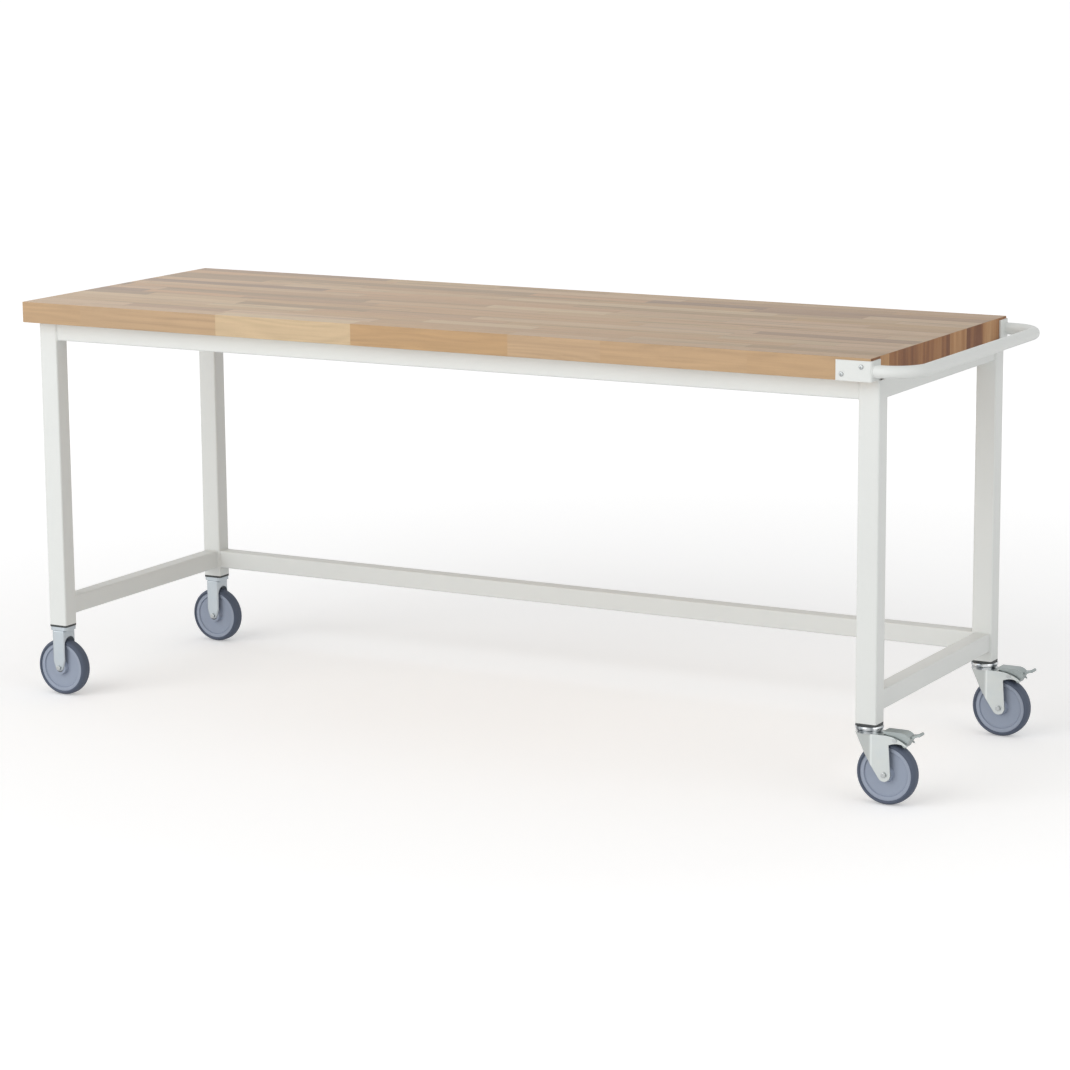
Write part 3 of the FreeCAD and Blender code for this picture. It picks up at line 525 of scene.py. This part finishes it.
# Swivel head with its stem and king pin, and the ball race under it.
# Heights are from the foot of the stem, which is the top of the head, and from the foot of the race.
swivel = {"stem": 0.040,
          "head": [(0.0050, 0.0400), (0.0060, 0.0390), (0.0060, 0.0002), (0.0262, 0.0000),
                   (0.0276, -0.0004), (0.0283, -0.0014), (0.0283, -0.0048), (0.0280, -0.0062),
                   (0.0271, -0.0070), (0.0252, -0.0072), (0.0070, -0.0072), (0.0070, -0.0163),
                   (0.0105, -0.0163), (0.0110, -0.0168), (0.0107, -0.0186), (0.0092, -0.0199),
                   (0.0060, -0.0203)],
          "race": [(0.00705, 0.0060), (0.0244, 0.0060), (0.0260, 0.0056), (0.0268, 0.0047),
                   (0.0268, 0.0039), (0.0258, 0.0032), (0.0258, 0.0027), (0.0270, 0.0020),
                   (0.0270, 0.0006), (0.0266, 0.0000), (0.00705, 0.0000)]}


def makeSwivel(corner):
    spot = middle("swivel_head_" + corner)
    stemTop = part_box("swivel_head_" + corner)[1][2]
    build = bmesh.new()
    addRings(build, turn(swivel["head"], (spot.x, spot.y, stemTop - swivel["stem"])))
    addPiece("swivelHead_" + corner, build, "bench", "bright_zinc", ["swivel_head_" + corner])
    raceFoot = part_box("swivel_race_" + corner)[0][2]
    build = bmesh.new()
    addRings(build, turn(swivel["race"], (spot.x, spot.y, raceFoot)), closed=True)
    addPiece("swivelRace_" + corner, build, "swivel_" + corner, "bright_zinc", ["swivel_race_" + corner])


# Axle bolts and nuts: hexagons with their corners turned off, and a threaded tail
axle = {"forkHalf": 0.021, "across": 0.010, "radius": 0.0030, "steps": 72, "sharp": 30.0,
        "plain": 0.0400, "threadFrom": 0.0410, "turns": 8, "pitch": 0.0010, "thread": 0.0027,
        "tail": 0.0492, "chamfer": 0.0006, "tip": 0.0021,
        "head": [(0.0026, 0.0037), (0.0030, 0.0040), (0.0045, 0.0040), (0.0050, 0.0039, True),
                 (0.0054, 0.0036, True), (0.0060, 0.0030, True), (0.0060, 0.0003, True), (0.0049, 0.0000)],
        "nut": [(0.00303, 0.0003), (0.0034, 0.0000), (0.0049, 0.0000), (0.0054, 0.0004, True),
                (0.0060, 0.0010, True), (0.0060, 0.0042, True), (0.0054, 0.0048, True), (0.0049, 0.0052),
                (0.0035, 0.0052), (0.00303, 0.0048)]}


def hexagon(angle):
    lean = (angle + math.pi / 6) % (math.pi / 3) - math.pi / 6
    return axle["across"] / 2 / math.cos(lean)


def makeAxles(name, body, corners):
    bolts, nuts = bmesh.new(), bmesh.new()
    shank = [(axle["radius"], 0.0), (axle["radius"], -axle["plain"])]
    for i in range(axle["turns"]):               # thread from just before the nut to the tail
        height = -axle["threadFrom"] - i * axle["pitch"]
        shank += [(axle["radius"], height), (axle["thread"], height - axle["pitch"] / 2)]
    shank += [(axle["thread"], axle["chamfer"] - axle["tail"]), (axle["tip"], -axle["tail"])]
    offset = Vector((0.0, axle["forkHalf"], 0.0))
    for corner in corners:
        hub = middle("wheel_core_" + corner)
        addRings(bolts, turn(axle["head"] + shank, hub - offset, 90.0, axle["steps"], hexagon))
        addRings(nuts, turn(axle["nut"], hub + offset, -90.0, axle["steps"], hexagon), closed=True)
    addPiece("axleBolts_" + name, bolts, body, "zinc_fasteners", ["axle_bolts_" + name], axle["sharp"])
    addPiece("axleNuts_" + name, nuts, body, "zinc_fasteners", ["axle_nuts_" + name], axle["sharp"])


# Pan-head screws with a cross recess
screw = {"face": 0.353, "end": 0.96075, "spots": [(0.060, 0.8475), (0.019, 0.8635)],
         "arm": 0.0024, "slit": 0.0006, "steps": 96,
         "profile": [(0.0003, -0.0320), (0.0025, -0.0270), (0.0025, 0.0000), (0.00475, 0.0000),
                     (0.00475, 0.0009), (0.0045, 0.0015), (0.0040, 0.0020), (0.0033, 0.0024),
                     (0.0027, 0.0026), (0.0025, 0.0026, True), (0.0024, 0.0022, True),
                     (0.0017, 0.0009, True)]}


def cross(angle):
    lean = abs((angle + math.pi / 4) % (math.pi / 2) - math.pi / 4)
    if screw["arm"] * math.tan(lean) <= screw["slit"]:
        return screw["arm"] / math.cos(lean)
    return screw["slit"] / math.sin(lean)


def makeScrews():
    build = bmesh.new()
    for side in (-1, 1):
        for back, height in screw["spots"]:
            spot = (screw["end"] - back, side * screw["face"], height)
            addRings(build, turn(screw["profile"], spot, -90.0 * side, screw["steps"], cross))
    addPiece("handleScrews", build, "bench", "zinc_fasteners", ["handle_screws"])


# Weld beads where the rails meet the legs and the handle meets its brackets
weld = {"radius": 0.0015, "ripple": 0.14, "pitch": 0.0026, "step": 0.00065, "facets": 8, "sharp": 80.0,
        "corner": 0.0030, "tube": 0.0125, "tubeMarks": 48}


def around(count):                               # angles of a full turn
    return [math.tau * i / count for i in range(count)]


def addBead(build, path, across, closed):
    across = Vector(across)
    rings = []
    walked = 0.0
    last = path[-1] if closed else path[0]
    for i, point in enumerate(path):
        walked += (point - last).length
        last = point
        ahead = path[(i + 1) % len(path)] if closed or i + 1 < len(path) else point
        behind = path[i - 1] if closed or i else point
        aside = (ahead - behind).normalized().cross(across)
        radius = weld["radius"] * (1 + weld["ripple"] * math.sin(math.tau * walked / weld["pitch"]))
        rings.append([point + radius * (math.cos(a) * across + math.sin(a) * aside)
                      for a in around(weld["facets"])])
    addRings(build, rings, closed)


def walk(corners, closed):                       # even steps along a line of points
    points = []
    pairs = zip(corners, corners[1:] + corners[:1] if closed else corners[1:])
    for start, end in pairs:
        count = max(1, round((end - start).length / weld["step"]))
        points += [start.lerp(end, i / count) for i in range(count)]
    return points if closed else points + [corners[-1]]


def railEdge(low, high, openTop):
    # outline of a rail's end, across and up, with rounded corners; upper rails have no bead at the top
    (left, bottom), (right, top) = low, high
    bend = weld["corner"]
    marks = [(right - bend, bottom + bend, -90), (right - bend, top - bend, 0),
             (left + bend, top - bend, 90), (left + bend, bottom + bend, 180)]
    if openTop:
        marks = [marks[3], marks[0]]
    edge = []
    for x, z, first in marks:
        for angle in (math.radians(first + turned) for turned in (0, 30, 60, 90)):
            edge.append((x + bend * math.cos(angle), z + bend * math.sin(angle)))
    return [(left, top)] + edge + [(right, top)] if openTop else edge


def makeWelds():
    build = bmesh.new()
    for name in [n for n in nodes if "_rail_" in n]:
        low, high = (Vector(corner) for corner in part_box(name))
        along = 0 if high.x - low.x > high.y - low.y else 1
        openTop = name.startswith("upper")
        other = 1 - along
        edge = railEdge((low[other], low.z), (high[other], high.z), openTop)
        for end in (low[along], high[along]):
            line = [Vector((end, u, z)) if along == 0 else Vector((u, end, z)) for u, z in edge]
            addBead(build, walk(line, not openTop), (1, 0, 0) if along == 0 else (0, 1, 0), not openTop)
    for side in ("front", "back"):
        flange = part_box("handle_bracket_" + side)[1][0]
        arm = middle("handle_bracket_" + side)
        tube = weld["tube"]
        tubeSide = math.copysign(screw["face"] - tube, arm.y)             # flush with the bracket's face
        ring = [Vector((flange, tubeSide + tube * math.cos(a), arm.z + tube * math.sin(a)))
                for a in around(weld["tubeMarks"])]
        addBead(build, walk(ring, True), (1, 0, 0), True)
    addPiece("weldBeads", build, "bench", "grey_powder_coat", (), weld["sharp"])


for corner in ("front_right", "back_right"):
    makeSwivel(corner)
    makeAxles(corner, "swivel_" + corner, [corner])
makeAxles("fixed", "bench", ["front_left", "back_left"])
makeScrews()
makeWelds()


# Camera, studio and floor

view = {"place": (3.52225, -6.27632, 1.80318), "yaw": 0.50706, "pitch": 0.19336, "roll": -0.00764,
        "lens": 115.22, "sensor": 36.0, "farthest": 200.0}


def makeCamera():
    yaw, pitch, roll = view["yaw"], view["pitch"], view["roll"]
    ahead = Vector((-math.sin(yaw) * math.cos(pitch), math.cos(yaw) * math.cos(pitch), -math.sin(pitch)))
    right = Vector((math.cos(yaw), math.sin(yaw), 0.0))
    up = right.cross(ahead)
    right, up = (math.cos(roll) * right + math.sin(roll) * up, math.cos(roll) * up - math.sin(roll) * right)
    stance = Matrix((right, up, -ahead)).transposed().to_4x4()
    camera = bpy.data.objects.new("camera", bpy.data.cameras.new("camera"))
    bpy.context.scene.collection.objects.link(camera)
    camera.matrix_world = Matrix.Translation(view["place"]) @ stance
    camera.data.sensor_width = view["sensor"]
    camera.data.lens = view["lens"]
    camera.data.clip_end = view["farthest"]
    bpy.context.scene.camera = camera


studio = {"ambient": 0.56, "white": (1.0, 1.0, 1.0, 1.0), "aim": (0.0, 0.0, 0.5),
          "key": 400.0, "keyPlace": (-3.0, -7.5, 3.6), "keySize": 8.0,
          "fill": 105.0, "fillPlace": (7.0, -2.0, 3.5), "fillSize": 6.0}


def makeLamp(name, place, size, power):
    lamp = bpy.data.objects.new(name, bpy.data.lights.new(name, "AREA"))
    bpy.context.scene.collection.objects.link(lamp)
    lamp.data.energy = power
    lamp.data.size = size
    lamp.location = place
    lamp.rotation_euler = (Vector(studio["aim"]) - Vector(place)).to_track_quat("-Z", "Y").to_euler()


def seenDirectly(paint):                         # 1 for the camera and for what metal or glass shows
    names = ("Is Camera Ray", "Is Glossy Ray", "Is Transmission Ray")
    camera, glossy, through = [paint.node("LightPath", out=name) for name in names]
    return camera.most(glossy).most(through)


def makeWorld():
    world = bpy.data.worlds.new("studio")
    bpy.context.scene.world = world
    paint = Paint("studio", world, "Background", Color=studio["white"])
    strength = studio["ambient"] + (1 - studio["ambient"]) * seenDirectly(paint)
    paint.feed(paint.shader.inputs["Strength"], strength)


ground = {"reach": 60.0, "drop": 0.0004, "colour": (0.90, 0.90, 0.90, 1.0), "roughness": 0.9, "shine": 0.1,
          "lift": (0.26, 0.26, 0.26), "farLift": (0.50, 0.50, 0.50), "fadeFrom": 1.2, "fadeOver": 3.0}


def makeFloor():
    mesh = bpy.data.meshes.new("floor")
    reach = ground["reach"]
    corners = [(-reach, -reach, 0), (reach, -reach, 0), (reach, reach, 0), (-reach, reach, 0)]
    mesh.from_pydata(corners, [], [(0, 1, 2, 3)])
    floor = bpy.data.objects.new("floor", mesh)
    bpy.context.scene.collection.objects.link(floor)
    floor.location.z = -ground["drop"]
    paint = Paint("paleFloor", Base_Color=ground["colour"], Roughness=ground["roughness"],
                  Specular_IOR_Level=ground["shine"])
    x, y = paint.split(paint.place())[:2]
    away = (x * x + y * y).root()
    far = ((away - ground["fadeFrom"]) / ground["fadeOver"]).held()       # soft shadow near, white far off
    paint.feed(paint.shader.inputs["Emission Color"], paint.between(far, ground["lift"], ground["farLift"]))
    paint.feed(paint.shader.inputs["Emission Strength"], seenDirectly(paint))
    mesh.materials.append(paint.material)


makeCamera()
makeLamp("keyLamp", studio["keyPlace"], studio["keySize"], studio["key"])
makeLamp("fillLamp", studio["fillPlace"], studio["fillSize"], studio["fill"])
makeWorld()
makeFloor()
bpy.context.scene.view_settings.view_transform = "Standard"
print("studio ready")
